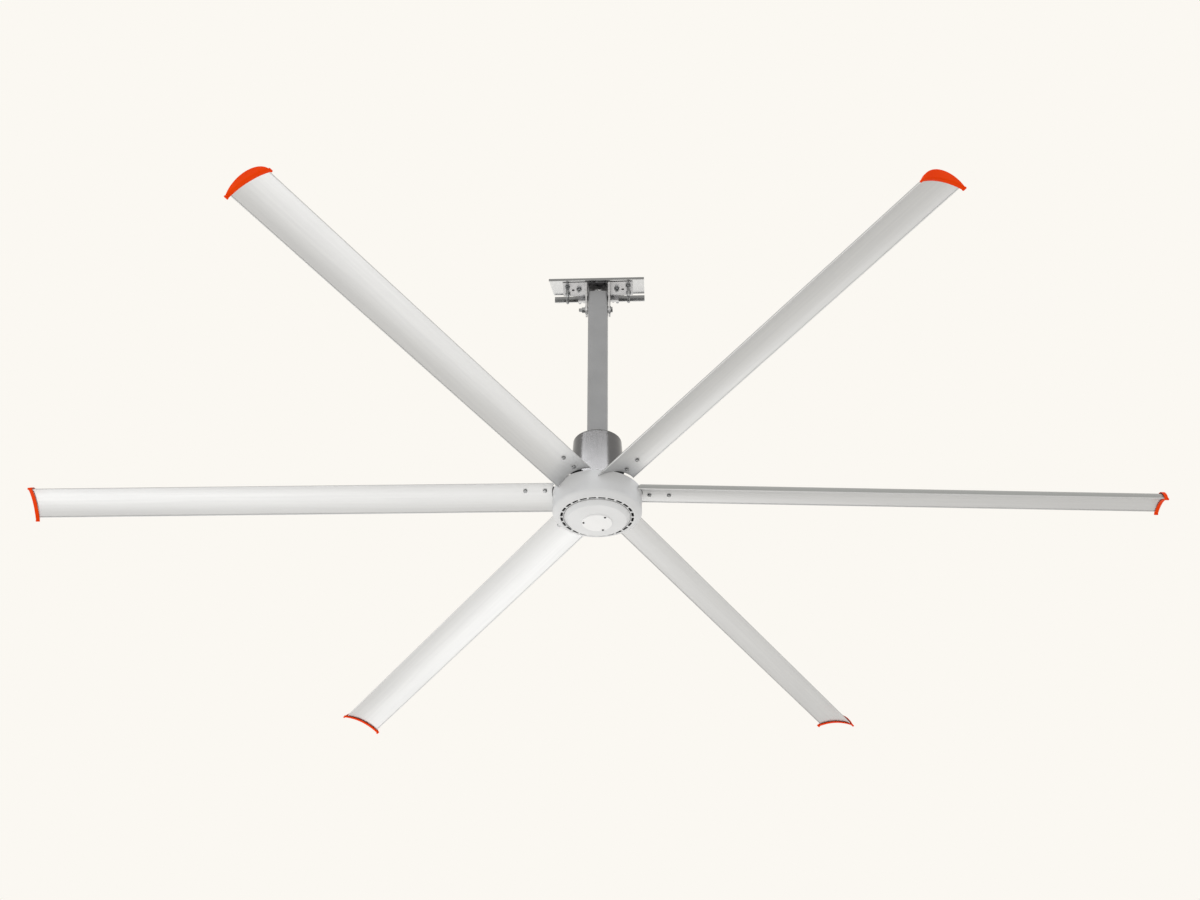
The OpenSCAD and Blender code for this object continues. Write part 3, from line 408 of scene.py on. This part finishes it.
def dress_frame():
    """Gives every CAD node its finish, and returns the finishes by slot.

    Blades and struts get one turned to their own length.
    """
    made = finishes()
    for name, node in nodes.items():
        kind, _, number = name.rpartition("_")
        if kind == "blade" and number.isdigit():
            material = blade_alloy(int(number) - 1)
        elif kind == "strut" and number.isdigit():
            material = strut_alloy(int(number) - 1)
        else:
            material = made[node.material_slots[0].material.name]
        node.material_slots[0].material = material
    nodes["cap_screws"].material_slots[0].material = black_screws()
    nodes["centre_disc"].material_slots[0].material = disc_paint()
    return made


# New pieces

def new_piece(name, shape, material, body):
    """Makes an object of the shape, which rides on the body."""
    mesh = bpy.data.meshes.new(name)
    shape.to_mesh(mesh)
    shape.free()
    mesh.materials.append(material)
    mesh.shade_smooth()
    mesh.set_sharp_from_angle(angle=SHARP_ANGLE)
    piece = bpy.data.objects.new(name, mesh)
    bpy.context.scene.collection.objects.link(piece)
    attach(piece, body)


def face_outwards(shape, corners):
    """Turns the faces round the given corners outwards."""
    faces = {face for corner in corners for face in corner.link_faces}
    bmesh.ops.recalc_face_normals(shape, faces=list(faces))


def lathe(shape, profile, steps):
    """Spins a closed profile of (radius, height) points once round the z axis.

    Returns the new corners.
    """
    before = set(shape.verts)
    corners = [shape.verts.new((radius, 0.0, height)) for radius, height in profile]
    edges = [shape.edges.new(pair) for pair in zip(corners, corners[1:] + corners[:1])]
    bmesh.ops.spin(shape, geom=corners + edges, cent=ORIGIN, axis=UP, angle=math.tau,
                   steps=steps, use_merge=True)
    made = [corner for corner in shape.verts if corner not in before]
    face_outwards(shape, made)
    return made


def thread(shape, radius, pitch, low, high):
    """A screw thread standing just proud of a shank on the z axis; returns its corners."""
    before = set(shape.verts)
    turns = (high - low) / pitch - 1.0
    steps = int(round(turns * THREAD_STEPS))
    ridge = [shape.verts.new((radius - THREAD_SINK, 0.0, low + RIDGE_START * pitch)),
             shape.verts.new((radius + THREAD_RISE, 0.0, low + RIDGE_CREST * pitch)),
             shape.verts.new((radius - THREAD_SINK, 0.0, low + RIDGE_END * pitch))]
    bmesh.ops.spin(shape, geom=[shape.faces.new(ridge)], cent=ORIGIN, axis=UP,
                   dvec=(0.0, 0.0, pitch / THREAD_STEPS),
                   angle=math.tau * steps / THREAD_STEPS, steps=steps, use_merge=False)
    made = [corner for corner in shape.verts if corner not in before]
    face_outwards(shape, made)
    return made


def disc_shadow_ring():
    """Thin black ring in the joint between the stepped disc and the hub cover, a painted shadow for
    that gap.
    """
    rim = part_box("centre_disc")[1].x
    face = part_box("hub_cover")[0].z
    inner, outer = rim - SHADOW_RING_INNER, rim + SHADOW_RING_OUTER
    top, bottom = face + SHADOW_RING_TOP, face - SHADOW_RING_BOTTOM
    shape = bmesh.new()
    lathe(shape, [(inner, top), (outer, top), (outer, bottom + SHADOW_RING_BEVEL),
                  (outer - SHADOW_RING_BEVEL, bottom), (inner + SHADOW_RING_BEVEL, bottom),
                  (inner, bottom + SHADOW_RING_BEVEL)], SHADOW_RING_STEPS)
    new_piece("disc_shadow_ring", shape, shadow_ring_finish(), "rotor")


def hanging_bolts():
    """The x, y, thread's start and nut's lower face of each M12 bolt under the mount."""
    studs = [(x, y, STUD_LOW + BOLT_BEVEL, STUD_NUT_LOW)
             for x in (-STUD_X, STUD_X) for y in STUD_Y]
    clamps = [(x, y, low + CLAMP_BOLT_BEVEL, nut_low)
              for x in (-CLAMP_X, CLAMP_X) for y, low, nut_low in CLAMP_TAILS]
    return studs + clamps


def mount_threads(zinc):
    """Threads on the studs that hang below the yoke, on the clamps' bolts and on the pivot bolt."""
    shape = bmesh.new()
    for x, y, start, nut_low in hanging_bolts():
        made = thread(shape, M12_RADIUS, M12_PITCH, start, nut_low - NUT_GAP)
        bmesh.ops.translate(shape, vec=(x, y, 0.0), verts=made)
    end, nut_face = PIVOT_TAIL
    made = thread(shape, PIVOT_RADIUS, PIVOT_PITCH, end + BOLT_BEVEL, nut_face - NUT_GAP)
    bmesh.ops.rotate(shape, verts=made, cent=ORIGIN, matrix=Matrix.Rotation(math.pi / 2, 3, "Y"))
    bmesh.ops.translate(shape, vec=(0.0, 0.0, PIVOT_HEIGHT), verts=made)
    new_piece("mount_threads", shape, zinc, "mount")


def mount_washers(zinc):
    """Flat washers between the nuts and the steel that they clamp."""
    shape = bmesh.new()
    bore = M12_RADIUS + WASHER_PLAY
    for x, y, _, nut_low in hanging_bolts():
        steel = nut_low + NUT_HEIGHT
        low, top = steel - WASHER_THICKNESS, steel - WASHER_TOP_GAP
        made = lathe(shape, [(bore, low), (WASHER_RADIUS - WASHER_BEVEL, low),
                             (WASHER_RADIUS, low + WASHER_BEVEL), (WASHER_RADIUS, top),
                             (bore, top)], WASHER_STEPS)
        bmesh.ops.translate(shape, vec=(x, y, 0.0), verts=made)
    new_piece("mount_washers", shape, zinc, "mount")


# Room, light and camera

def seen_rays(tree, share):
    """The given share for rays of the camera, of gloss and through glass, and none for the rest."""
    path = tree.nodes.new("ShaderNodeLightPath")
    total = path.outputs["Is Camera Ray"]
    for ray in ("Is Glossy Ray", "Is Transmission Ray"):
        either = tree.nodes.new("ShaderNodeMath")
        either.operation = "MAXIMUM"
        tree.links.new(total, either.inputs[0])
        tree.links.new(path.outputs[ray], either.inputs[1])
        total = either.outputs[0]
    return spread(tree, total, 0.0, share, 0.0, 1.0)


def seen_mix(tree, share, hidden, seen, output):
    """Shows the seen shader to the share of the seen rays, and the hidden one to all others."""
    mix = tree.nodes.new("ShaderNodeMixShader")
    tree.links.new(seen_rays(tree, share), mix.inputs[0])
    tree.links.new(hidden.outputs[0], mix.inputs[1])
    tree.links.new(seen.outputs[0], mix.inputs[2])
    tree.links.new(mix.outputs[0], output.inputs["Surface"])


def pale_room():
    """Pale background for what the camera, gloss and glass see, and a softer light for the rest."""
    world = bpy.data.worlds.new("pale_room")
    world.use_nodes = True
    bpy.context.scene.world = world
    tree = world.node_tree
    seen = tree.nodes["Background"]
    seen.inputs["Color"].default_value = (*PALE_ROOM, 1.0)
    seen.inputs["Strength"].default_value = 1.0
    soft = tree.nodes.new("ShaderNodeBackground")
    soft.inputs["Color"].default_value = (*ROOM_LIGHT, 1.0)
    soft.inputs["Strength"].default_value = ROOM_LIGHT_STRENGTH
    seen_mix(tree, 1.0, soft, seen, tree.nodes["World Output"])


def floor_paint():
    """Pale matt floor, which is as bright as the background where the camera sees it."""
    material, tree, shader = new_material("pale_floor", (0.80, 0.78, 0.74),
                                          metallic=0.0, roughness=0.9)
    cloud = noise(tree, object_place(tree), scale=0.4, detail=2.0)
    tree.links.new(two_colours(tree, cloud, (0.79, 0.77, 0.73), (0.81, 0.79, 0.75)),
                   shader.inputs["Base Color"])
    glow = tree.nodes.new("ShaderNodeEmission")
    glow.inputs["Color"].default_value = (*PALE_ROOM, 1.0)
    seen_mix(tree, FLOOR_GLOW, shader, glow, tree.nodes["Material Output"])
    return material


def pale_floor():
    """Floor far below the fan, so that it stays under the camera in the views from below."""
    mesh = bpy.data.meshes.new("floor")
    shape = bmesh.new()
    bmesh.ops.create_grid(shape, x_segments=1, y_segments=1, size=FLOOR_SIZE / 2)
    bmesh.ops.translate(shape, vec=(0.0, 0.0, FLOOR_DEPTH), verts=shape.verts)
    shape.to_mesh(mesh)
    shape.free()
    mesh.materials.append(floor_paint())
    floor = bpy.data.objects.new("floor", mesh)
    bpy.context.scene.collection.objects.link(floor)


def soft_lamp(name, place, target, width, height, power):
    """A softbox that faces the target, with its power in watts; the camera doesn't see it."""
    data = bpy.data.lights.new(name, "AREA")
    data.shape = "RECTANGLE"
    data.size = width
    data.size_y = height
    data.energy = power
    lamp = bpy.data.objects.new(name, data)
    turn = (Vector(target) - Vector(place)).to_track_quat("-Z", "Y")
    lamp.matrix_world = Matrix.Translation(place) @ turn.to_matrix().to_4x4()
    lamp.visible_camera = False
    bpy.context.scene.collection.objects.link(lamp)
    return lamp


def shroud_arc():
    """Softboxes that light only the motor shroud, which mirrors them as one broad band."""
    shroud_only = bpy.data.collections.new("shroud_only")
    shroud_only.objects.link(nodes["motor_shroud"])
    for i, angle in enumerate(ARC_ANGLES):
        turn = math.radians(angle)
        place = (ARC_RADIUS * math.sin(turn), -ARC_RADIUS * math.cos(turn), ARC_HEIGHT)
        lamp = soft_lamp(f"arc_softbox_{i + 1}", place, SHROUD_CENTRE,
                         width=1.28, height=0.7, power=19.0)
        lamp.light_linking.receiver_collection = shroud_only


def studio_light():
    """Two softboxes behind and below the fan, the shroud's arc and one beside the camera."""
    soft_lamp("low_softbox", place=(-5.0, 4.2, -5.4), target=(-0.6, 0.0, -1.1),
              width=5.0, height=5.0, power=50.0)
    soft_lamp("floor_bounce", place=(-1.5, 3.0, -6.3), target=HUB_CENTRE,
              width=6.0, height=6.0, power=72.0)
    shroud_arc()
    soft_lamp("camera_side_softbox", place=(-1.5, -7.5, -3.6), target=HUB_CENTRE,
              width=2.0, height=2.0, power=40.0)


def photo_camera():
    """Camera that sees the fan as the photograph does."""
    data = bpy.data.cameras.new("photo_camera")
    data.sensor_fit = "HORIZONTAL"
    data.sensor_width = SENSOR_WIDTH
    data.lens = CAMERA_LENS
    data.clip_start, data.clip_end = CAMERA_CLIP
    camera = bpy.data.objects.new("photo_camera", data)
    turn = Matrix.Rotation(CAMERA_TURN, 4, "Z")
    rise = Matrix.Rotation(math.pi / 2 + CAMERA_RISE, 4, "X")
    roll = Matrix.Rotation(CAMERA_ROLL, 4, "Z")
    camera.matrix_world = Matrix.Translation(CAMERA_PLACE) @ turn @ rise @ roll
    bpy.context.scene.collection.objects.link(camera)
    bpy.context.scene.camera = camera


photo_camera()
slot_finishes = dress_frame()
disc_shadow_ring()
mount_threads(slot_finishes["zinc_fasteners"])
mount_washers(slot_finishes["zinc_fasteners"])
pale_room()
pale_floor()
studio_light()
bpy.context.scene.view_settings.view_transform = "Standard"
